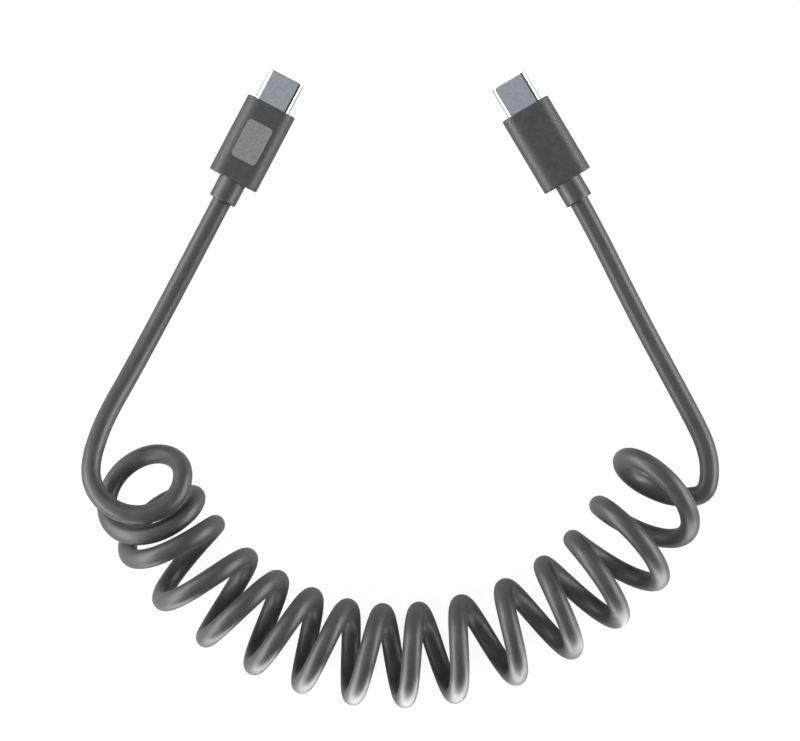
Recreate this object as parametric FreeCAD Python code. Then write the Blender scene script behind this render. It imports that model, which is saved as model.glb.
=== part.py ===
import FreeCAD, Part
import math
import os

# Coiled USB-C charging cable, lying on a flat surface: two plugs, two leads and the curly stretch between.
# Millimetres, +Z up from the surface, +Y towards the plugs' mouths, origin midway between the plugs.
# Each plug is drawn once in its own frame: X out of the mouth from the front of the housing, Y across, Z up.

Vector = FreeCAD.Vector

# Cord: sizes, and the routes of the curly stretch's axis and of the leads (hand-chosen points)
CORD_DIAMETER = 4.2
CURL_RADIUS = 9.2
ARC_SHARE = 0.45
COIL_ROUTE = [
    (-57.6, -69.8),
    (-55.6, -76.2),
    (-50.2, -87.2),
    (-38.4, -99.2),
    (-25.0, -107.0),
    (-11.2, -111.3),
    (2.6, -112.2),
    (18.6, -109.2),
    (34.6, -101.8),
    (46.6, -91.8),
    (55.0, -77.6),
    (58.4, -70.5),
]
LEFT_LEAD_ROUTE = [
    (-66.0, -67.6, 14.6),
    (-65.0, -62.8, 12.2),
    (-63.0, -57.5, 9.2),
    (-58.7, -49.1, 5.0),
    (-51.4, -36.5, 2.2),
]
RIGHT_LEAD_ROUTE = [
    (66.6, -69.3, 5.5),
    (66.0, -64.9, 4.7),
    (64.1, -60.3, 3.9),
    (60.0, -53.2, 2.8),
    (52.4, -39.9, 2.2),
]
LEFT_EXIT_ANGLE = 30.0
RIGHT_EXIT_ANGLE = -30.0
STRAIGHT_EXIT = 7.0

# Plug poses: middle of the housing's front edge on the surface, and the heading of its mouth from +X
LEFT_PLUG = (-27.88, 6.89, 62.3)
RIGHT_PLUG = (26.95, 6.33, 120.7)

# Contact end: contacts on a standard grid, slot for the socket's tongue, shell around it
FIT = 0.03
SAME_PLACE = 1e-6
CONTACT_PITCH = 0.5
CONTACT_PLACES = 12
UPPER_PLACES = (0, 3, 4, 5, 6, 8, 11)
LOWER_PLACES = (0, 3, 7, 8, 11)
CONTACT_WIDTH = 0.25
CONTACT_THICKNESS = 0.15
CROWN_GAP = 0.5
CROWN_SPAN = 1.4
CROWN_SETBACK = 1.9
BEAM_INSET = 0.05
TAIL_LENGTH = 2.2
SLOT_HEIGHT = 1.1
SLOT_DEPTH = 5.0
SLOT_SIDE = 0.4
SLOT_ROOF = 0.37
LATCH_ROOM = 0.445
SHELL_WALL = 0.25
SHELL_REACH = 7.1
SHELL_ROOT = 3.6
SHELL_LIP = 0.25
SHELL_LIP_DEPTH = 0.35
SHELL_RIM_SHARE = 0.48
INSULATOR_RECESS = 0.8
INSULATOR_TAIL = 1.9

# Latch plate: one flat stamping with a soldering tab, a bridge and two hooked side arms
LATCH_THICKNESS = 0.2
LATCH_TAB_WIDTH = 5.0
LATCH_BRIDGE = 1.6
LATCH_SETBACK = 0.6
ARM_WIDTH = 0.25
HOOK_LENGTH = 0.7
HOOK_REACH = 0.5
HOOK_SETBACK = 1.0

# Ground springs: thin plates let into the insulator's roof and floor, each with lanced fingers
SPRING_THICKNESS = 0.1
SPRING_WIDTH = 5.2
SPRING_RAIL = 0.15
FINGER_COUNT = 3
FINGER_WIDTH = 0.7
FINGER_PITCH = 1.7
FINGER_DIP = 0.15

# Inside the housing: paddle card, wire ends, moulded core
CARD_THICKNESS = 0.6
CARD_WIDTH = 7.6
CARD_LENGTH = 6.2
CARD_GAP = 0.5
WIRE_DIAMETER = 0.9
WIRE_PITCH = 1.05
WIRE_LAP = 2.0
WIRE_FREE = 1.8
SOLDER = 0.05
UPPER_WIRE_COUNT = 3
LOWER_WIRE_COUNT = 2
CORE_COVER = 0.32
CORE_SIDE = 0.845
CORD_GRIP = 1.0

# Housing and strain relief
HOUSING_WALL = 0.7
FRONT_WALL = 1.2
REAR_WALL = 1.8
HOUSING_EDGE_RADIUS = 0.3
FLANGE_THICKNESS = 1.4
NECK_WALL = 0.4
COLLAR_STEP = 0.55
COLLAR_LENGTH = 5.0
COLLAR_EDGE_RADIUS = 0.3

# Sizes that follow
slot_width = CONTACT_PLACES * CONTACT_PITCH + 2 * SLOT_SIDE
insulator_width = slot_width + 2 * LATCH_ROOM
insulator_height = SLOT_HEIGHT + 2 * SLOT_ROOF
bore_width = insulator_width + 2 * FIT
bore_height = insulator_height + 2 * FIT
shell_width = bore_width + 2 * SHELL_WALL
shell_height = bore_height + 2 * SHELL_WALL
insulator_front = SHELL_REACH - INSULATOR_RECESS
insulator_rear = -SHELL_ROOT - INSULATOR_TAIL
slot_floor = insulator_front - SLOT_DEPTH
crown_middle = insulator_front - CROWN_SETBACK
crown_front = crown_middle + CROWN_SPAN / 2
beam_bottom = SLOT_HEIGHT / 2 + BEAM_INSET
beam_top = beam_bottom + CONTACT_THICKNESS
card_front = insulator_rear - CARD_GAP
card_rear = card_front - CARD_LENGTH
cord_end = card_rear - WIRE_FREE
flange_front = cord_end - CORD_GRIP
flange_rear = flange_front - FLANGE_THICKNESS
housing_rear = flange_rear - REAR_WALL
collar_rear = housing_rear - COLLAR_LENGTH
core_width = shell_width + 2 * CORE_SIDE
core_height = CORD_DIAMETER + 2 * CORE_COVER
cavity_width = core_width + 2 * FIT
cavity_height = core_height + 2 * FIT
housing_width = cavity_width + 2 * HOUSING_WALL
housing_height = cavity_height + 2 * HOUSING_WALL
neck_diameter = CORD_DIAMETER + 2 * NECK_WALL
collar_diameter = neck_diameter + 2 * COLLAR_STEP
plug_axis_height = housing_height / 2
coil_diameter = 2 * CURL_RADIUS + CORD_DIAMETER


def block(x_range, y_range, z_range):
    """Box between two limits on each axis."""
    low = Vector(x_range[0], y_range[0], z_range[0])
    size = [limits[1] - limits[0] for limits in (x_range, y_range, z_range)]
    return Part.makeBox(*size, low)


def stadium(width, height, x_rear, x_front):
    """Solid along X with a flat top and bottom and half-round sides."""
    radius = height / 2
    flat = width / 2 - radius
    places = ((-flat, radius), (flat, radius), (flat, -radius), (-flat, -radius))
    corners = [Vector(x_rear, y, z) for y, z in places]
    outline = Part.Wire([
        Part.LineSegment(corners[0], corners[1]).toShape(),
        Part.Arc(corners[1], Vector(x_rear, width / 2, 0), corners[2]).toShape(),
        Part.LineSegment(corners[2], corners[3]).toShape(),
        Part.Arc(corners[3], Vector(x_rear, -width / 2, 0), corners[0]).toShape(),
    ])
    return Part.Face(outline).extrude(Vector(x_front - x_rear, 0, 0))


def rod(diameter, x_rear, x_front, y=0.0, z=0.0):
    """Round bar along X."""
    return Part.makeCylinder(diameter / 2, x_front - x_rear, Vector(x_rear, y, z), Vector(1, 0, 0))


def cut_all(body, tools):
    """The body less every tool."""
    return body.cut(Part.makeCompound(tools)).removeSplitter().Solids[0]


def underside(shape):
    """The same shape turned over onto the lower side of the plug."""
    return shape.mirror(Vector(0, 0, 0), Vector(0, 0, 1))


def edges_across(solid, x):
    """Edges that lie in the plane across the plug at x."""
    flat = [edge for edge in solid.Edges if edge.BoundBox.XLength < SAME_PLACE]
    return [edge for edge in flat if abs(edge.BoundBox.XMin - x) < SAME_PLACE]


def shell():
    """Drawn steel shell, open at both ends, its mouth turned in to a rounded lip."""
    body = stadium(shell_width, shell_height, -SHELL_ROOT, SHELL_REACH)
    bore = stadium(bore_width, bore_height, -SHELL_ROOT, SHELL_REACH - SHELL_LIP_DEPTH)
    mouth = stadium(bore_width - 2 * SHELL_LIP, bore_height - 2 * SHELL_LIP, -SHELL_ROOT, SHELL_REACH)
    body = body.cut(bore).cut(mouth)
    radius = SHELL_RIM_SHARE * (SHELL_WALL + SHELL_LIP)
    return body.makeFillet(radius, edges_across(body, SHELL_REACH)).Solids[0]


def contact(place):
    """One sprung contact of the upper row: tail on the card, beam in its groove, crown over the slot."""
    y = (place - (CONTACT_PLACES - 1) / 2) * CONTACT_PITCH - CONTACT_WIDTH / 2
    tail = CARD_THICKNESS / 2
    lower = [
        Vector(card_front - TAIL_LENGTH, y, tail),
        Vector(card_front, y, tail),
        Vector(insulator_rear, y, beam_bottom),
        Vector(crown_middle - CROWN_SPAN / 2, y, beam_bottom),
        Vector(crown_middle, y, CROWN_GAP / 2),
        Vector(crown_front, y, beam_bottom),
    ]
    upper = [point + Vector(0, 0, CONTACT_THICKNESS) for point in lower]
    edges = []
    for side in (lower, upper):
        edges += [Part.LineSegment(a, b).toShape() for a, b in zip(side[:3], side[1:4])]
        edges.append(Part.Arc(*side[3:]).toShape())
    edges += [Part.LineSegment(lower[end], upper[end]).toShape() for end in (0, -1)]
    outline = Part.Wire(Part.sortEdges(edges)[0])
    return Part.Face(outline).extrude(Vector(0, CONTACT_WIDTH, 0))


def contact_groove(place):
    """Room for one upper contact: a channel through the insulator that opens into the slot."""
    y = (place - (CONTACT_PLACES - 1) / 2) * CONTACT_PITCH
    y_range = (y - CONTACT_WIDTH / 2 - FIT, y + CONTACT_WIDTH / 2 + FIT)
    front = crown_front + FIT
    channel = block((insulator_rear, front), y_range, (beam_bottom - FIT, beam_top + FIT))
    opening = block((slot_floor, front), y_range, (0, beam_top))
    return channel.fuse(opening)


def latch_half():
    """Right half of the latch plate: tab, bridge and one arm with its hook."""
    arm_in = slot_width / 2 + (LATCH_ROOM - ARM_WIDTH) / 2
    arm_out = arm_in + ARM_WIDTH
    bridge_front = slot_floor - LATCH_SETBACK
    hook_front = insulator_front - HOOK_SETBACK
    points = [
        (card_front, 0),
        (card_front, LATCH_TAB_WIDTH / 2),
        (bridge_front - LATCH_BRIDGE, LATCH_TAB_WIDTH / 2),
        (bridge_front - LATCH_BRIDGE, arm_out),
        (hook_front, arm_out),
        (hook_front, arm_in),
        (hook_front - HOOK_LENGTH / 2, arm_in - HOOK_REACH),
        (hook_front - HOOK_LENGTH, arm_in),
        (bridge_front, arm_in),
        (bridge_front, 0),
    ]
    corners = [Vector(x, y, -LATCH_THICKNESS / 2) for x, y in points]
    return Part.Face(Part.makePolygon(corners + corners[:1])).extrude(Vector(0, 0, LATCH_THICKNESS))


def latch_plate():
    """Flat spring-steel latch plate, the same on both sides."""
    half = latch_half()
    return half.fuse(half.mirror(Vector(0, 0, 0), Vector(0, 1, 0))).removeSplitter().Solids[0]


def latch_room():
    """Slit through the insulator for the plate, and side channels in which the arms can spread."""
    slit = LATCH_THICKNESS / 2 + FIT
    reach = insulator_width
    bridge_front = slot_floor - LATCH_SETBACK
    tab_half = LATCH_TAB_WIDTH / 2 + FIT
    tab = block((insulator_rear, bridge_front), (-tab_half, tab_half), (-slit, slit))
    bridge = block((bridge_front - LATCH_BRIDGE - FIT, bridge_front + FIT), (-reach, reach), (-slit, slit))
    channels = [
        block((bridge_front, insulator_front), limits, (-slit, slit))
        for limits in ((slot_width / 2, reach), (-reach, -slot_width / 2))
    ]
    return [tab, bridge] + channels


def spring_range():
    """Front and rear of a ground spring plate, in the roof ahead of the contact crowns."""
    return crown_front + SPRING_RAIL, insulator_front - FIT


def finger_places():
    """Middle of each finger across the plug."""
    return [(index - (FINGER_COUNT - 1) / 2) * FINGER_PITCH for index in range(FINGER_COUNT)]


def finger_window(y, clearance):
    """Hole in the roof or the plate that one finger bends down through."""
    rear, front = spring_range()
    half = FINGER_WIDTH / 2 + clearance
    return block((rear + SPRING_RAIL, front - SPRING_RAIL), (y - half, y + half), (0, insulator_height))


def ground_spring():
    """Upper ground spring: a thin plate with lanced fingers that slope down into the slot."""
    rear, front = spring_range()
    top = insulator_height / 2
    plate = block((rear, front), (-SPRING_WIDTH / 2, SPRING_WIDTH / 2), (top - SPRING_THICKNESS, top))
    plate = plate.cut(Part.makeCompound([finger_window(y, FIT) for y in finger_places()]))
    root = front - SPRING_RAIL
    tip = rear + SPRING_RAIL + FIT
    low = SLOT_HEIGHT / 2 - FINGER_DIP
    for y in finger_places():
        side = y - FINGER_WIDTH / 2
        profile = [(root, top - SPRING_THICKNESS), (root, top), (tip, low + SPRING_THICKNESS), (tip, low)]
        corners = [Vector(x, side, z) for x, z in profile]
        finger = Part.Face(Part.makePolygon(corners + corners[:1])).extrude(Vector(0, FINGER_WIDTH, 0))
        plate = plate.fuse(finger)
    return plate.removeSplitter().Solids[0]


def spring_seat():
    """Recess for the upper ground spring, and the windows for its fingers."""
    rear, front = spring_range()
    half = SPRING_WIDTH / 2 + FIT
    floor = insulator_height / 2 - SPRING_THICKNESS - FIT
    seat = block((rear - FIT, insulator_front), (-half, half), (floor, insulator_height))
    return [seat] + [finger_window(y, FIT) for y in finger_places()]


def insulator():
    """Moulded contact carrier: tongue slot, contact grooves, latch slit and spring seats."""
    body = stadium(insulator_width, insulator_height, insulator_rear, insulator_front)
    half = slot_width / 2
    slot = block((slot_floor, insulator_front), (-half, half), (-SLOT_HEIGHT / 2, SLOT_HEIGHT / 2))
    upper = [contact_groove(place) for place in UPPER_PLACES] + spring_seat()
    lower = [contact_groove(place) for place in LOWER_PLACES] + spring_seat()
    for tools in ([slot], upper, [underside(tool) for tool in lower], latch_room()):
        for tool in tools:
            body = body.cut(tool)
    return body.removeSplitter().Solids[0]


def paddle_card():
    """Small circuit card between the two rows of contact tails."""
    half_width = CARD_WIDTH / 2
    face = CARD_THICKNESS / 2
    return block((card_rear, card_front), (-half_width, half_width), (-face, face))


def wire_row(count):
    """Insulated wire ends side by side, from the end of the cord onto the card's upper face."""
    level = CARD_THICKNESS / 2 + SOLDER + WIRE_DIAMETER / 2
    places = [(index - (count - 1) / 2) * WIRE_PITCH for index in range(count)]
    return [rod(WIRE_DIAMETER, cord_end, card_rear + WIRE_LAP, y, level) for y in places]


def wire_ends():
    """Every wire end of one plug."""
    lower = [underside(wire) for wire in wire_row(LOWER_WIRE_COUNT)]
    return Part.makeCompound(wire_row(UPPER_WIRE_COUNT) + lower)


def core(inside):
    """Core moulded round the connector's root, the card and the wires."""
    body = stadium(core_width, core_height, flange_front, -FRONT_WALL)
    rooms = [
        stadium(shell_width, shell_height, -SHELL_ROOT, 0),
        stadium(insulator_width, insulator_height, insulator_rear, 0),
        rod(CORD_DIAMETER + 2 * FIT, flange_front, cord_end),
    ]
    for tool in rooms + inside:
        body = body.cut(tool)
    return body.removeSplitter().Solids[0]


def housing():
    """Outer sleeve, flat above and below, closed round the shell and round the strain relief's neck."""
    body = stadium(housing_width, housing_height, housing_rear, 0)
    body = body.makeFillet(HOUSING_EDGE_RADIUS, edges_across(body, 0) + edges_across(body, housing_rear))
    return cut_all(body, [
        stadium(cavity_width, cavity_height, flange_rear, -FRONT_WALL),
        stadium(shell_width + 2 * FIT, shell_height + 2 * FIT, -FRONT_WALL, SHELL_REACH),
        rod(neck_diameter + 2 * FIT, housing_rear, flange_rear),
    ])


def strain_relief():
    """Soft collar behind the housing, on a neck with a flange that is held inside."""
    collar = rod(collar_diameter, collar_rear, housing_rear)
    collar = collar.makeFillet(COLLAR_EDGE_RADIUS, edges_across(collar, collar_rear))
    neck = rod(neck_diameter, housing_rear, flange_rear)
    flange = stadium(core_width, core_height, flange_rear, flange_front)
    body = collar.fuse([neck, flange]).removeSplitter()
    return body.cut(rod(CORD_DIAMETER + 2 * FIT, collar_rear, flange_front)).Solids[0]


def plug_pieces():
    """Every piece of one plug in the plug's own frame, by name."""
    upper = [contact(place) for place in UPPER_PLACES]
    lower = [underside(contact(place)) for place in LOWER_PLACES]
    pieces = {
        "shell": shell(),
        "insulator": insulator(),
        "upper_contacts": Part.makeCompound(upper),
        "lower_contacts": Part.makeCompound(lower),
        "latch_plate": latch_plate(),
        "upper_ground_spring": ground_spring(),
        "lower_ground_spring": underside(ground_spring()),
        "paddle_card": paddle_card(),
        "wire_ends": wire_ends(),
        "housing": housing(),
        "strain_relief": strain_relief(),
    }
    embedded = ("upper_contacts", "lower_contacts", "latch_plate", "paddle_card", "wire_ends")
    pieces["core"] = core([pieces[name] for name in embedded])
    return pieces


def plug_pose(plug):
    """Placement of a plug that lies on its housing."""
    x, y, heading = plug
    return FreeCAD.Placement(Vector(x, y, plug_axis_height), FreeCAD.Rotation(Vector(0, 0, 1), heading))


def rounded_path(points, name):
    """Straight runs joined by tangent arcs, each as large as its two runs allow."""
    edges = []
    radii = []
    start = points[0]
    for before, corner, after in zip(points, points[1:], points[2:]):
        back = before - corner
        ahead = after - corner
        reach = ARC_SHARE * min(back.Length, ahead.Length)
        half_turn = (math.pi - back.getAngle(ahead)) / 2
        radius = reach / math.tan(half_turn)
        back.normalize()
        ahead.normalize()
        inward = (back + ahead).normalize()
        middle = corner + inward * (radius / math.cos(half_turn) - radius)
        edges.append(Part.LineSegment(start, corner + back * reach).toShape())
        edges.append(Part.Arc(corner + back * reach, middle, corner + ahead * reach).toShape())
        start = corner + ahead * reach
        radii.append(round(radius, 1))
    edges.append(Part.LineSegment(start, points[-1]).toShape())
    print(name, "arc radii", radii)
    return Part.Wire(edges)


def tube(points, diameter, name):
    """Round solid along a route."""
    path = rounded_path(points, name)
    section = Part.Wire(Part.makeCircle(diameter / 2, points[0], points[1] - points[0]))
    solid = path.makePipeShell([section], True, True)
    expected = math.pi * diameter ** 2 / 4 * path.Length
    print(name, "length", round(path.Length, 2), "volume share", round(solid.Volume / expected, 5))
    return solid


def coil_points():
    """Axis of the curly stretch, at the height where its curls touch the surface."""
    return [Vector(x, y, coil_diameter / 2) for x, y in COIL_ROUTE]


def coil_end(last, angle):
    """Point on the curls' centreline in an end face of the coil, and the way out of that face."""
    points = coil_points()
    end, inner = (points[-1], points[-2]) if last else (points[0], points[1])
    outward = (end - inner).normalize()
    travel = outward if last else outward * -1
    away = Vector(travel.y, -travel.x, 0)
    turn = math.radians(angle)
    return end + away * (CURL_RADIUS * math.cos(turn)) + Vector(0, 0, CURL_RADIUS * math.sin(turn)), outward


def lead(name, route, plug, last, angle):
    """Straight stretch of cord from an end face of the coil into a plug."""
    pose = plug_pose(plug)
    start, outward = coil_end(last, angle)
    chosen = [Vector(*point) for point in route]
    ahead = (chosen[0] - start).normalize()
    overrun = ahead * CORD_DIAMETER
    inner_end = [pose.multVec(Vector(x, 0, 0)) for x in (collar_rear - STRAIGHT_EXIT, cord_end)]
    body = tube([start - overrun] + chosen + inner_end, CORD_DIAMETER, name)
    behind = Part.makeCylinder(coil_diameter, coil_diameter, start, outward * -1)
    return body.cut(behind).Solids[0]


def export(shape, name):
    """Writes one piece."""
    shape.exportStep(os.path.join("parts", name + ".step"))


os.makedirs("parts", exist_ok=True)
pieces = plug_pieces()
for side, plug in (("left", LEFT_PLUG), ("right", RIGHT_PLUG)):
    for name, shape in pieces.items():
        placed = shape.copy()
        placed.Placement = plug_pose(plug)
        export(placed, side + "_" + name)

export(tube(coil_points(), coil_diameter, "coil"), "coil")
export(lead("left_lead", LEFT_LEAD_ROUTE, LEFT_PLUG, False, LEFT_EXIT_ANGLE), "left_lead")
export(lead("right_lead", RIGHT_LEAD_ROUTE, RIGHT_PLUG, True, RIGHT_EXIT_ANGLE), "right_lead")
overall = (shell_width, shell_height, housing_width, housing_height, -housing_rear, collar_diameter)
print("plug sizes", [round(size, 3) for size in overall])
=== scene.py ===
"""Looks of a coiled charging cable: its cord, its two plugs and a plain studio.

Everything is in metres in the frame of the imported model: +Z up from the table, +Y the way the plugs' mouths
point, and the origin on the table midway between the plugs. Values whose names end in _mm, the cord's
routes and the rows of its curls are in millimetres.
"""
import logging
import math
from collections.abc import Iterable
from dataclasses import astuple, dataclass
from enum import Enum

import bmesh
import bpy
from mathutils import Matrix, Vector


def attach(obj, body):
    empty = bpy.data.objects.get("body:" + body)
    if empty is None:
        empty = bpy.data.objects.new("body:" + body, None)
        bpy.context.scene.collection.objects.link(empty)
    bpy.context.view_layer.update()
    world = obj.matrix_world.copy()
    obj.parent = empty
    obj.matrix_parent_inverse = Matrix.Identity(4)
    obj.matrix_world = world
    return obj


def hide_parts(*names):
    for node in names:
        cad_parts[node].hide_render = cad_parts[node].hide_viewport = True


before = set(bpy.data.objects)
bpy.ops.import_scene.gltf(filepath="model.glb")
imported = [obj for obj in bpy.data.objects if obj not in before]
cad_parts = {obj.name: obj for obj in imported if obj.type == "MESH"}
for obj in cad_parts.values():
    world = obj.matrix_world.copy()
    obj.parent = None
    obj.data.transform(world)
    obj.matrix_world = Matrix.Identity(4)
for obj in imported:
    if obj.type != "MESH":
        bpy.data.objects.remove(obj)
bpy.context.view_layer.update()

LOG = logging.getLogger("cable")
MM = 0.001
ROOT = "root"
IMAGE_WIDTH_PX = 800.0
SPLINE_ORDER = 3

# The cord's route: the curly stretch's axis, and each lead from the coil to its plug
COIL_ROUTE = (
    (-57.6, -69.8),
    (-55.2, -76.0),
    (-49.8, -86.9),
    (-38.4, -99.2),
    (-25.0, -107.0),
    (-11.2, -111.3),
    (2.6, -112.0),
    (18.6, -109.2),
    (34.5, -101.6),
    (46.5, -91.7),
    (55.1, -77.7),
    (58.2, -70.4),
)
LEFT_LEAD_ROUTE = (
    (-66.1, -68.9, 14.8),
    (-65.1, -65.2, 13.0),
    (-63.2, -60.0, 10.4),
    (-58.6, -51.5, 5.9),
    (-52.1, -39.1, 2.2),
)
RIGHT_LEAD_ROUTE = (
    (66.1, -77.2, 5.0),
    (67.1, -72.2, 4.8),
    (66.2, -66.7, 4.0),
    (63.6, -61.1, 3.1),
    (58.9, -52.3, 2.3),
    (51.4, -38.4, 2.1),
)


class Side(Enum):
    """The two ends of the cable."""

    LEFT = "left"
    RIGHT = "right"


@dataclass(frozen=True)
class Curl:
    """How the coil lies at one place along it.

    Attributes:
        turn: Place in turns from the coil's left end.
        fall: Lean from upright, forwards along the coil, in degrees.
        swing: Turn round the vertical in degrees.
        slide: Shift along the coil's axis in millimetres.
        radius: Radius at the middle of the cord in millimetres.
        lift: Height off the table in millimetres.
    """

    turn: float
    fall: float
    swing: float
    slide: float
    radius: float
    lift: float = 0.0

    def towards(self, other: "Curl", turn: float) -> "Curl":
        """Works out how the coil lies between here and another place.

        Args:
            other: How the coil lies at the other place.
            turn: Place between the two, in turns.

        Returns:
            How it lies there, in proportion between the two.
        """
        share = (turn - self.turn) / (other.turn - self.turn)
        pairs = zip(astuple(self), astuple(other))
        return Curl(*(near + share * (far - near) for near, far in pairs))


# How the curls lie: the first has fallen on top of the second, and the last ones lean over
CURLS = (
    Curl(0, 72, -11, 1.7, 9.3, 11.6),
    Curl(0.5, 61, -16, -0.1, 9.5, 10.5),
    Curl(0.8, 58, -21, 1.7, 9.7, 4.2),
    Curl(1, 51, -25, 2.35, 10.0),
    Curl(1.5, 13, -11, -1.5, 9.5),
    Curl(1.7, 13, -7, -1.6, 9.4),
    Curl(2, 12, 0, -0.4, 9.3),
    Curl(3, 2, -4, 0.7, 9.75),
    Curl(4, -7, -4, 0.4, 9.55),
    Curl(5, -2, -2, 0.0, 9.3),
    Curl(6, -4, -2, -0.2, 9.2),
    Curl(8, -2, 1, 0.0, 9.2),
    Curl(9, -1, 1, -0.75, 9.4),
    Curl(10, -2, 1.6, 0.15, 9.15),
    Curl(11, 0, 3, 0.2, 9.3),
    Curl(12, 4, 2, 0.0, 9.45),
    Curl(13, 8, 0.5, -0.4, 9.9),
    Curl(14, 20, -5.5, 0.2, 9.6),
    Curl(14.5, 28, -6.5, 0.6, 9.85),
    Curl(14.75, 31, -8, 0.8, 9.5),
    Curl(15, 36, -9, 0.4, 9.5),
)


def linear(code: str) -> tuple[float, float, float, float]:
    """Turns an sRGB hex colour into linear light, by the standard's own curve.

    Args:
        code: Colour as "#rrggbb".

    Returns:
        Red, green, blue and an alpha of 1.
    """
    parts = [int(code[place:place + 2], 16) / 255 for place in (1, 3, 5)]
    light = [part / 12.92 if part <= 0.04045 else ((part + 0.055) / 1.055) ** 2.4 for part in parts]
    return light[0], light[1], light[2], 1.0


def add_node(
    tree: bpy.types.NodeTree,
    kind: str,
    settings: dict[str | int, object] | None = None,
    links: dict[str | int, bpy.types.NodeSocket] | None = None,
) -> bpy.types.Node:
    """Adds one shader node with its settings and links.

    Args:
        tree: Tree that the node goes into.
        kind: Blender's name for the kind of node, after "ShaderNode".
        settings: Values by the name or number of an input, or by the name of a property.
        links: Output sockets by the name or number of the input that they feed.

    Returns:
        The new node.
    """
    node = tree.nodes.new("ShaderNode" + kind)
    for key, value in (settings or {}).items():
        if isinstance(key, int) or key in node.inputs:
            node.inputs[key].default_value = value
        else:
            setattr(node, key, value)
    for key, socket in (links or {}).items():
        tree.links.new(socket, node.inputs[key])
    return node


def fill_ramp(ramp: bpy.types.ColorRamp, stops: Iterable[tuple[float, str]]) -> None:
    """Gives a new colour ramp its stops.

    Args:
        ramp: Ramp with the two stops that it is made with, at its ends.
        stops: Place and colour of each stop, in rising order.
    """
    wanted = list(stops)
    while len(ramp.elements) < len(wanted):
        ramp.elements.new(1.0)
    for stop, (place, code) in zip(ramp.elements, wanted):
        stop.position = place
        stop.color = linear(code)


def empty_material(name: str) -> bpy.types.Material:
    """Makes a node material with no nodes in it.

    Args:
        name: Name of the material.

    Returns:
        The new material.
    """
    material = bpy.data.materials.new(name)
    material.use_nodes = True
    material.node_tree.nodes.clear()
    return material


@dataclass(frozen=True)
class Finish:
    """A surface as a designer would specify it: two close shades in clouds, and a fine grain.

    Attributes:
        name: What the material is and how its surface was made.
        shade: Darker of its two colours.
        tint: Lighter of its two colours.
        cloud_mm: Size of the patches in which the colour and gloss vary.
        grain_mm: Size of one grain.
        grain_depth_mm: Height of the grain.
        roughness: Least and greatest roughness.
        metallic: 1 for bare metal.
        ior: Index of refraction, left at the default on metal.
        cloud_detail: Octaves of finer noise on the clouds.
        grain_detail: Octaves of finer noise on the grain.
        noise_roughness: Weight of each finer octave.
        colour_span: Values of the clouds' noise at which the darker and the lighter colour are reached.
        gloss_span: Values of the clouds' noise at which the least and the greatest roughness are reached.
    """

    name: str
    shade: str
    tint: str
    cloud_mm: float
    grain_mm: float
    grain_depth_mm: float
    roughness: tuple[float, float]
    metallic: float = 0.0
    ior: float = 1.5
    cloud_detail: float = 3.0
    grain_detail: float = 1.0
    noise_roughness: float = 0.55
    colour_span: tuple[float, float] = (0.35, 0.65)
    gloss_span: tuple[float, float] = (0.3, 0.7)

    def material(self) -> bpy.types.Material:
        """Makes the finish as a node material.

        Returns:
            The material, with colour and gloss that follow the clouds and a bump that follows the grain.
        """
        made = empty_material(self.name)
        tree = made.node_tree
        place = {"Vector": add_node(tree, "TexCoord").outputs["Object"]}
        patches = {
            "Scale": 1 / (self.cloud_mm * MM),
            "Detail": self.cloud_detail,
            "Roughness": self.noise_roughness,
        }
        cloud = add_node(tree, "TexNoise", patches, place).outputs[0]
        grains = {
            "Scale": 1 / (self.grain_mm * MM),
            "Detail": self.grain_detail,
            "Roughness": self.noise_roughness,
        }
        grain = add_node(tree, "TexNoise", grains, place).outputs[0]
        colour = add_node(tree, "ValToRGB", links={"Fac": cloud})
        fill_ramp(colour.color_ramp, zip(self.colour_span, (self.shade, self.tint)))
        spread = {
            "From Min": self.gloss_span[0],
            "From Max": self.gloss_span[1],
            "To Min": self.roughness[0],
            "To Max": self.roughness[1],
        }
        gloss = add_node(tree, "MapRange", spread, {"Value": cloud})
        bump = add_node(tree, "Bump", {"Distance": self.grain_depth_mm * MM}, {"Height": grain})
        links = {
            "Base Color": colour.outputs["Color"],
            "Roughness": gloss.outputs["Result"],
            "Normal": bump.outputs["Normal"],
        }
        shader = add_node(tree, "BsdfPrincipled", {"Metallic": self.metallic, "IOR": self.ior}, links)
        add_node(tree, "OutputMaterial", links={"Surface": shader.outputs["BSDF"]})
        return made


# The real grains are a few hundredths of a millimetre, too fine to show, so every grain here is drawn coarser

# Extruded elastomer: a soft satin skin that its die leaves smooth, so light runs along it in broad bands
CORD_FINISH = Finish(
    "extruded_tpe", shade="#383839", tint="#3f3f40",
    cloud_mm=3.0, grain_mm=0.22, grain_depth_mm=0.002, roughness=(0.42, 0.48),
)
# Elastomer overmoulded on the cord: a shade darker than it, with the fine grain of a spark-eroded mould;
# its index is set above the usual 1.5 to match the collar's sheen
COLLAR_FINISH = Finish(
    "moulded_tpe", shade="#2a2a2b", tint="#323233",
    cloud_mm=1.2, grain_mm=0.3, grain_depth_mm=0.005, roughness=(0.43, 0.49), ior=1.68,
)
# Polycarbonate blend from a spark-eroded mould: an even grey with a fine pebbled grain and a dull sheen;
# its index is set a little above the usual 1.58 to match that sheen
HOUSING_FINISH = Finish(
    "moulded_polycarbonate", shade="#2a2a2a", tint="#323232",
    cloud_mm=1.0, grain_mm=0.3, grain_depth_mm=0.005, roughness=(0.5, 0.57), ior=1.64,
)
# Laser-frosted polycarbonate: paler and coarser than the skin round it
PANEL_FINISH = Finish(
    "frosted_polycarbonate", shade="#666665", tint="#787877",
    cloud_mm=0.5, grain_mm=0.35, grain_depth_mm=0.012, roughness=(0.55, 0.65),
)
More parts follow.
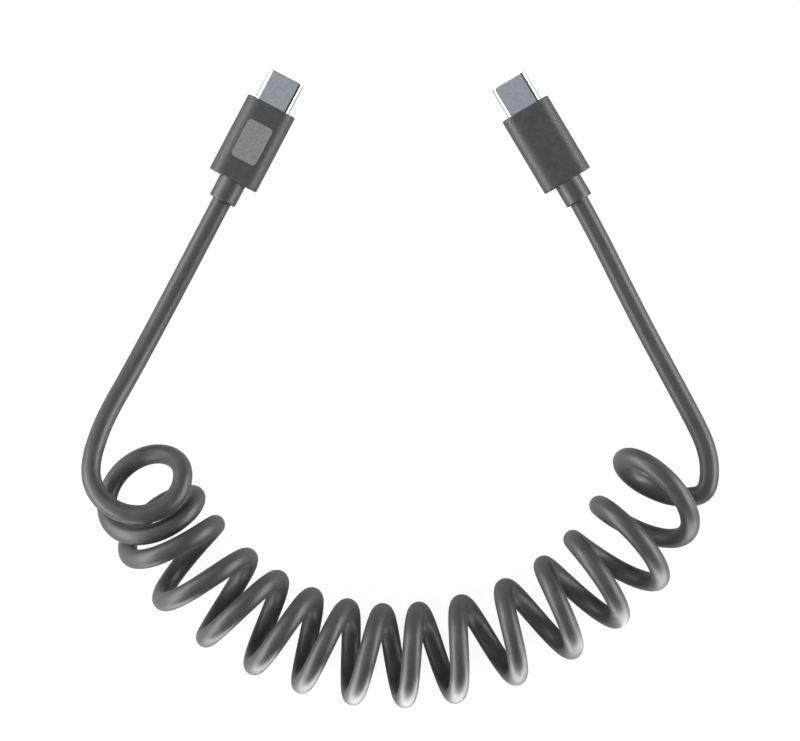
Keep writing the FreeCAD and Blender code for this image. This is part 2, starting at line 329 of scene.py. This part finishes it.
# Nickel on drawn stainless steel, tumbled: mirror-like from afar, faintly clouded from close to
SHELL_FINISH = Finish(
    "nickel_plated_steel", shade="#c6ced6", tint="#d6dce3",
    cloud_mm=0.7, grain_mm=0.25, grain_depth_mm=0.0005, roughness=(0.14, 0.22), metallic=1.0,
)
# Glass-filled liquid-crystal polymer: dead black and matt
CARRIER_FINISH = Finish(
    "liquid_crystal_polymer", shade="#141415", tint="#1b1b1c",
    cloud_mm=0.6, grain_mm=0.2, grain_depth_mm=0.006, roughness=(0.5, 0.6),
)
# Hard gold over nickel on a stamped copper alloy: a warm clear mirror
CONTACT_FINISH = Finish(
    "hard_gold_plate", shade="#d9a441", tint="#e6b75a",
    cloud_mm=0.5, grain_mm=0.1, grain_depth_mm=0.001, roughness=(0.18, 0.26), metallic=1.0,
)
# Stamped stainless spring steel as it leaves the strip: pale grey with a rolled sheen
SPRING_FINISH = Finish(
    "stamped_spring_steel", shade="#aeb0b1", tint="#c3c5c6",
    cloud_mm=0.6, grain_mm=0.12, grain_depth_mm=0.002, roughness=(0.24, 0.34), metallic=1.0,
)
# Glass-epoxy laminate under green solder mask: glossy, with the weave just showing as clouds
CARD_FINISH = Finish(
    "solder_mask_laminate", shade="#0f4a2a", tint="#176036",
    cloud_mm=0.8, grain_mm=0.25, grain_depth_mm=0.004, roughness=(0.25, 0.35),
)
# Extruded wire insulation in red: smooth and slightly waxy
WIRE_FINISH = Finish(
    "extruded_wire_insulation", shade="#8c1c18", tint="#a3241f",
    cloud_mm=1.0, grain_mm=0.15, grain_depth_mm=0.003, roughness=(0.35, 0.45),
)
# Natural polyethylene, moulded at low pressure: milky and waxy
CORE_FINISH = Finish(
    "natural_polyethylene", shade="#cfccc2", tint="#dedbd2",
    cloud_mm=1.5, grain_mm=0.3, grain_depth_mm=0.006, roughness=(0.4, 0.5),
)


def link(piece: bpy.types.Object) -> bpy.types.Object:
    """Puts an object into the scene and returns it."""
    bpy.context.scene.collection.objects.link(piece)
    return piece


def nurbs(name: str, points: list[Vector]) -> bpy.types.Object:
    """Draws one smooth open line with the points as its controls.

    Args:
        name: Name of the object.
        points: Control points.

    Returns:
        A curve object that isn't yet in the scene.
    """
    curve = bpy.data.curves.new(name, "CURVE")
    curve.dimensions = "3D"
    spline = curve.splines.new("NURBS")
    spline.points.add(len(points) - 1)
    for control, point in zip(spline.points, points):
        control.co = (*point, 1.0)
    spline.order_u = SPLINE_ORDER
    spline.use_endpoint_u = True
    return bpy.data.objects.new(name, curve)


def read_line(piece: bpy.types.Object) -> list[Vector]:
    """Reads the points along a curve with no bevel, and removes the curve.

    Args:
        piece: Curve object that isn't yet in the scene.

    Returns:
        The points, from end to end.
    """
    link(piece)
    mesh = bpy.data.meshes.new_from_object(piece)
    points = [vertex.co.copy() for vertex in mesh.vertices]
    bpy.data.meshes.remove(mesh)
    bpy.data.objects.remove(piece)
    return points


@dataclass(frozen=True)
class PlugPose:
    """Where a plug lies: the middle of its housing's front edge on the table, and its mouth's heading.

    Attributes:
        x: Place along X.
        y: Place along Y.
        heading: Angle of the mouth from +X in degrees.
        axis_height: Height of the plug's axis.
    """

    x: float
    y: float
    heading: float
    axis_height: float = 3.15 * MM

    def matrix(self) -> Matrix:
        """Returns the move from the plug's own frame to the part's."""
        turn = Matrix.Rotation(math.radians(self.heading), 4, "Z")
        return Matrix.Translation((self.x, self.y, self.axis_height)) @ turn

    def at(self, along: float) -> Vector:
        """Returns the point on the plug's axis that lies so far ahead of the housing's front."""
        return self.matrix() @ Vector((along, 0, 0))


POSES = {
    Side.LEFT: PlugPose(-27.88 * MM, 6.89 * MM, heading=62.3),
    Side.RIGHT: PlugPose(26.95 * MM, 6.33 * MM, heading=120.7),
}


@dataclass
class Cord:
    """The whole cord, from inside one plug through the curls to inside the other.

    Attributes:
        diameter: Diameter of the cord.
        turns: Number of curls.
        points_per_turn: Control points in one curl.
        points_left_out: Control points at the end of the last curl, where the right lead takes over.
        cord_end: Place of the cord's end in a plug, ahead of the housing's front.
        collar_end: Place of the collar's rear in a plug, likewise.
        straight_exit: Length that leaves a plug in line with it.
        steps: Segments from one control point to the next.
        sides: Extra sides of the cord's round section.
    """

    diameter: float = 4.2 * MM
    turns: int = 15
    points_per_turn: int = 16
    points_left_out: int = 2
    cord_end: float = -14.0 * MM
    collar_end: float = -23.2 * MM
    straight_exit: float = 3.0 * MM
    steps: int = 5
    sides: int = 8

    def axis(self) -> list[Vector]:
        """Draws the smooth axis of the curly stretch and reads it.

        Returns:
            Points along the axis, many to each control point of the curls.
        """
        controls = [Vector((x, y, 0)) * MM for x, y in COIL_ROUTE]
        line = nurbs("coil_axis", controls)
        line.data.splines[0].resolution_u = self.turns * self.points_per_turn
        return read_line(line)

    def lie(self, turn: float) -> Curl:
        """Returns how the coil lies at a place that is given in turns from its left end."""
        before, after = next(pair for pair in zip(CURLS, CURLS[1:]) if turn <= pair[1].turn)
        return before.towards(after, turn)

    def curl_point(self, axis: list[Vector], turn: float) -> Vector:
        """Works out one control point of the curls, which lean as they lie on the table.

        Args:
            axis: Points along the coil's axis.
            turn: Place in turns from the coil's left end.

        Returns:
            The control point.
        """
        curl = self.lie(turn)
        last = len(axis) - 1
        index = round(turn / self.turns * last)
        along = (axis[min(index + 1, last)] - axis[max(index - 1, 0)]).normalized()
        ahead = Matrix.Rotation(math.radians(curl.swing), 3, "Z") @ along
        outward = Vector((ahead.y, -ahead.x, 0))
        lean = math.radians(curl.fall)
        upward = Vector((0, 0, math.cos(lean))) + ahead * math.sin(lean)
        reach = curl.radius * MM / math.cos(math.pi / self.points_per_turn)
        height = self.diameter / 2 + (curl.lift + curl.radius * math.cos(lean)) * MM
        centre = axis[index] + along * curl.slide * MM + Vector((0, 0, height))
        angle = math.tau * turn
        return centre + (outward * math.cos(angle) + upward * math.sin(angle)) * reach

    def curls(self) -> list[Vector]:
        """Works out the control points of every curl.

        Returns:
            The points, from the left lead to the right one.
        """
        axis = self.axis()
        count = self.turns * self.points_per_turn + 1 - self.points_left_out
        return [self.curl_point(axis, step / self.points_per_turn) for step in range(count)]

    def route(self) -> list[Vector]:
        """Joins the leads and the curls.

        Returns:
            Every control point of the cord, from the left plug to the right one.
        """
        inner = {
            side: [pose.at(self.cord_end), pose.at(self.collar_end - self.straight_exit)]
            for side, pose in POSES.items()
        }
        left = [Vector(point) * MM for point in reversed(LEFT_LEAD_ROUTE)]
        right = [Vector(point) * MM for point in RIGHT_LEAD_ROUTE]
        return inner[Side.LEFT] + left + self.curls() + right + inner[Side.RIGHT][::-1]

    def build(self) -> bpy.types.Object:
        """Draws the cord as one round smooth tube.

        Returns:
            The cord.
        """
        piece = link(nurbs("cord", self.route()))
        piece.data.bevel_depth = self.diameter / 2
        piece.data.bevel_resolution = self.sides
        piece.data.splines[0].resolution_u = self.steps
        piece.data.use_fill_caps = True
        return piece

    def length(self) -> float:
        """Returns the length of the cord's own line."""
        points = read_line(nurbs("cord_line", self.route()))
        return sum((end - start).length for start, end in zip(points, points[1:]))

    def dress(self, piece: bpy.types.Object) -> None:
        """Gives the cord its finish."""
        piece.data.materials.append(CORD_FINISH.material())

    def declare(self, piece: bpy.types.Object) -> None:
        """Hangs the cord on the cable's root and hides the imported coil and leads that it stands for.

        Args:
            piece: The cord.
        """
        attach(piece, ROOT)
        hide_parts("coil", "left_lead", "right_lead")
        POSES[Side.LEFT].at(self.collar_end)
        self.length()


@dataclass
class Panel:
    """Bare frosted panel on top of the left housing.

    Attributes:
        length: Size along the plug.
        width: Size across the plug.
        corner: Radius of its corners.
        corner_segments: Segments round one corner.
        proud: How far it stands out of the housing.
        sunk: How far it goes into the housing.
        rim: Width of the softened rim.
        rim_segments: Segments across the rim.
        along: Place of its middle, ahead of the housing's front.
        roof: Height of the housing's top above the plug's axis.
    """

    length: float = 8.9 * MM
    width: float = 5.9 * MM
    corner: float = 0.9 * MM
    corner_segments: int = 8
    proud: float = 0.06 * MM
    sunk: float = 0.05 * MM
    rim: float = 0.04 * MM
    rim_segments: int = 2
    along: float = -9.0 * MM
    roof: float = 3.15 * MM

    def build(self) -> bpy.types.Object:
        """Models the panel as a thin plate with round corners and a softened rim.

        Returns:
            The panel.
        """
        shape = bmesh.new()
        bmesh.ops.create_grid(shape, x_segments=1, y_segments=1, size=self.length / 2)
        bmesh.ops.scale(shape, vec=(1, self.width / self.length, 1), verts=shape.verts)
        bmesh.ops.bevel(
            shape, geom=shape.verts[:], offset=self.corner, offset_type="OFFSET",
            affect="VERTICES", segments=self.corner_segments, profile=0.5, material=-1,
        )
        face = bmesh.ops.extrude_face_region(shape, geom=shape.faces[:])
        raised = [item for item in face["geom"] if isinstance(item, bmesh.types.BMVert)]
        bmesh.ops.translate(shape, vec=(0, 0, self.proud + self.sunk), verts=raised)
        top = [edge for edge in shape.edges if all(vertex in raised for vertex in edge.verts)]
        bmesh.ops.bevel(
            shape, geom=top, offset=self.rim, offset_type="OFFSET",
            affect="EDGES", segments=self.rim_segments, profile=0.5, material=-1,
        )
        bmesh.ops.recalc_face_normals(shape, faces=shape.faces)
        seat = Matrix.Translation((self.along, 0, self.roof - self.sunk))
        shape.transform(POSES[Side.LEFT].matrix() @ seat)
        mesh = bpy.data.meshes.new("left_housing_panel")
        shape.to_mesh(mesh)
        shape.free()
        return link(bpy.data.objects.new("left_housing_panel", mesh))

    def dress(self, piece: bpy.types.Object) -> None:
        """Gives the panel its finish and lets it ride with the cable.

        Args:
            piece: The panel.
        """
        piece.data.materials.append(PANEL_FINISH.material())
        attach(piece, ROOT)


PLUG_FINISHES = {
    "shell": SHELL_FINISH,
    "insulator": CARRIER_FINISH,
    "upper_contacts": CONTACT_FINISH,
    "lower_contacts": CONTACT_FINISH,
    "latch_plate": SPRING_FINISH,
    "upper_ground_spring": SPRING_FINISH,
    "lower_ground_spring": SPRING_FINISH,
    "paddle_card": CARD_FINISH,
    "wire_ends": WIRE_FINISH,
    "core": CORE_FINISH,
    "housing": HOUSING_FINISH,
    "strain_relief": COLLAR_FINISH,
}


@dataclass
class Plug:
    """One plug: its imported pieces, each with the finish of the real one.

    Attributes:
        side: Which end of the cable it is on.
    """

    side: Side

    def dress(self) -> list[bpy.types.Object]:
        """Gives every piece of the plug its finish.

        Returns:
            The pieces.
        """
        pieces = []
        for name, finish in PLUG_FINISHES.items():
            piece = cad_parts[f"{self.side.value}_{name}"]
            piece.data.materials.clear()
            piece.data.materials.append(bpy.data.materials.get(finish.name) or finish.material())
            LOG.info("%s is dressed in %s", piece.name, finish.name)
            pieces.append(piece)
        return pieces


@dataclass(frozen=True)
class SoftBox:
    """A large soft lamp that the camera doesn't see.

    Attributes:
        name: Name of the lamp.
        place: Middle of the lamp.
        target: Point that the lamp faces.
        width: Width of its face.
        height: Height of its face.
        radiance: How bright its face is, where white in full light is 1.
    """

    name: str
    place: Vector
    target: Vector
    width: float
    height: float
    radiance: float

    def build(self) -> None:
        """Hangs the lamp so that it faces its target."""
        lamp = bpy.data.lights.new(self.name, "AREA")
        lamp.shape = "RECTANGLE"
        lamp.size = self.width
        lamp.size_y = self.height
        lamp.energy = self.radiance * math.pi * self.width * self.height
        holder = link(bpy.data.objects.new(self.name, lamp))
        holder.location = self.place
        holder.rotation_euler = (self.target - self.place).to_track_quat("-Z", "Y").to_euler()
        holder.visible_camera = False


# Light of the room by height: dim towards the horizon, brighter overhead
DOME_LIGHT = {"From Min": 0.5, "From Max": 0.9, "To Min": 0.06, "To Max": 0.46}
# A dark card in that light, to the right of the camera, draws the dark line along the steel shells' edges
DARK_CARD = ((0.15, "#ffffff"), (0.25, "#58585c"), (0.6, "#58585c"), (0.7, "#ffffff"))


@dataclass
class Studio:
    """White table, soft lamps and a camera that looks straight down.

    Attributes:
        middle: Point of the table under the camera.
        height: Height of the camera.
        pixels_per_mm: Scale of the picture at the table.
        sensor_mm: Width of the camera's sensor.
        table: Width of the table.
        table_gap: How far the table lies below the part.
        table_grey: Colour of the table in the light that it sends back up.
        table_mirrored: Colour of the table in reflections.
        table_seen: Colour of the table to the camera, which takes the shadow.
        table_glow: Light added to the table for the camera, where 1 is white.
    """

    middle: tuple[float, float] = (-0.1 * MM, -50.4 * MM)
    height: float = 1.0
    pixels_per_mm: float = 4.6
    sensor_mm: float = 36.0
    table: float = 30.0
    table_gap: float = 0.02 * MM
    table_grey: str = "#909090"
    table_mirrored: str = "#e7e7e7"
    table_seen: str = "#606060"
    table_glow: float = 0.93

    def camera(self) -> None:
        """Sets up the camera."""
        lens = bpy.data.cameras.new("camera")
        field = IMAGE_WIDTH_PX / self.pixels_per_mm * MM
        lens.sensor_width = self.sensor_mm
        lens.lens = self.sensor_mm * self.height / field
        holder = link(bpy.data.objects.new("camera", lens))
        holder.location = (*self.middle, self.height)
        bpy.context.scene.camera = holder

    def white_table(self) -> bpy.types.Material:
        """Makes the table's surface: nearly white to the camera and in reflections, with the part's shadow.

        Returns:
            The material.
        """
        made = empty_material("white_table")
        tree = made.node_tree
        grey = add_node(tree, "BsdfDiffuse", {"Color": linear(self.table_grey)})
        mirrored = add_node(tree, "BsdfDiffuse", {"Color": linear(self.table_mirrored)})
        shaded = add_node(tree, "BsdfDiffuse", {"Color": linear(self.table_seen)})
        glow = add_node(tree, "Emission", {"Color": linear("#ffffff"), "Strength": self.table_glow})
        seen = add_node(tree, "AddShader", links={0: shaded.outputs[0], 1: glow.outputs[0]})
        path = add_node(tree, "LightPath").outputs
        bounces = {0: path["Is Glossy Ray"], 1: path["Is Transmission Ray"]}
        bounced = add_node(tree, "Math", {"operation": "MAXIMUM"}, bounces)
        links = {"Fac": bounced.outputs[0], 1: grey.outputs[0], 2: mirrored.outputs[0]}
        unseen = add_node(tree, "MixShader", links=links)
        links = {"Fac": path["Is Camera Ray"], 1: unseen.outputs[0], 2: seen.outputs[0]}
        surface = add_node(tree, "MixShader", links=links)
        add_node(tree, "OutputMaterial", links={"Surface": surface.outputs[0]})
        return made

    def floor(self) -> None:
        """Lays the white table."""
        shape = bmesh.new()
        bmesh.ops.create_grid(shape, x_segments=1, y_segments=1, size=self.table / 2)
        bmesh.ops.translate(shape, vec=(0, 0, -self.table_gap), verts=shape.verts)
        mesh = bpy.data.meshes.new("table")
        shape.to_mesh(mesh)
        shape.free()
        mesh.materials.append(self.white_table())
        table = link(bpy.data.objects.new("table", mesh))

    def world(self) -> None:
        """Fills the room with soft light from overhead."""
        room = bpy.data.worlds.new("room")
        bpy.context.scene.world = room
        room.use_nodes = True
        tree = room.node_tree
        tree.nodes.clear()
        way = add_node(tree, "TexCoord").outputs["Generated"]
        parts = add_node(tree, "SeparateXYZ", links={0: way}).outputs
        level = add_node(tree, "MapRange", DOME_LIGHT, {"Value": parts["Z"]})
        card = add_node(tree, "ValToRGB", links={"Fac": parts["X"]})
        fill_ramp(card.color_ramp, DARK_CARD)
        links = {"Color": card.outputs["Color"], "Strength": level.outputs["Result"]}
        fill = add_node(tree, "Background", links=links)
        add_node(tree, "OutputWorld", links={"Surface": fill.outputs[0]})

    def lamps(self) -> None:
        """Hangs three lamps round the table, and lays two that light the curls' outer ends from low down."""
        target = Vector((*self.middle, 0))
        near = Vector((0.03, -0.16, 0.001))
        right = Vector((0.085, -0.13, 0.001))
        up = Vector((0, 0, 1))
        boxes = (
            SoftBox("left_box", Vector((-0.66, -0.13, 0.22)), target, width=1.2, height=0.34, radiance=9.0),
            SoftBox("right_box", Vector((0.66, 0.01, 0.22)), target, width=0.86, height=0.34, radiance=9.6),
            SoftBox("far_box", Vector((-0.43, 0.38, 0.51)), target, width=0.6, height=0.28, radiance=3.0),
            SoftBox("near_panel", near, near + up, width=0.26, height=0.05, radiance=11.0),
            SoftBox("right_panel", right, right + up, width=0.07, height=0.04, radiance=5.5),
        )
        for box in boxes:
            box.build()

    def build(self) -> None:
        """Sets up the whole studio."""
        bpy.context.scene.view_settings.view_transform = "Standard"
        self.camera()
        self.floor()
        self.world()
        self.lamps()


def main() -> None:
    """Builds and dresses the cable in its studio, and reports each piece."""
    logging.basicConfig(level=logging.INFO)
    Studio().build()
    LOG.info("studio is set up")
    plugs = {side: Plug(side).dress() for side in Side}
    cord = Cord()
    line = cord.build()
    cord.dress(line)
    cord.declare(line)
    LOG.info("%s is %.3f m long", line.name, cord.length())
    panel = Panel()
    plate = panel.build()
    panel.dress(plate)
    LOG.info("%s is on the left housing", plate.name)


if __name__ == "__main__":
    main()
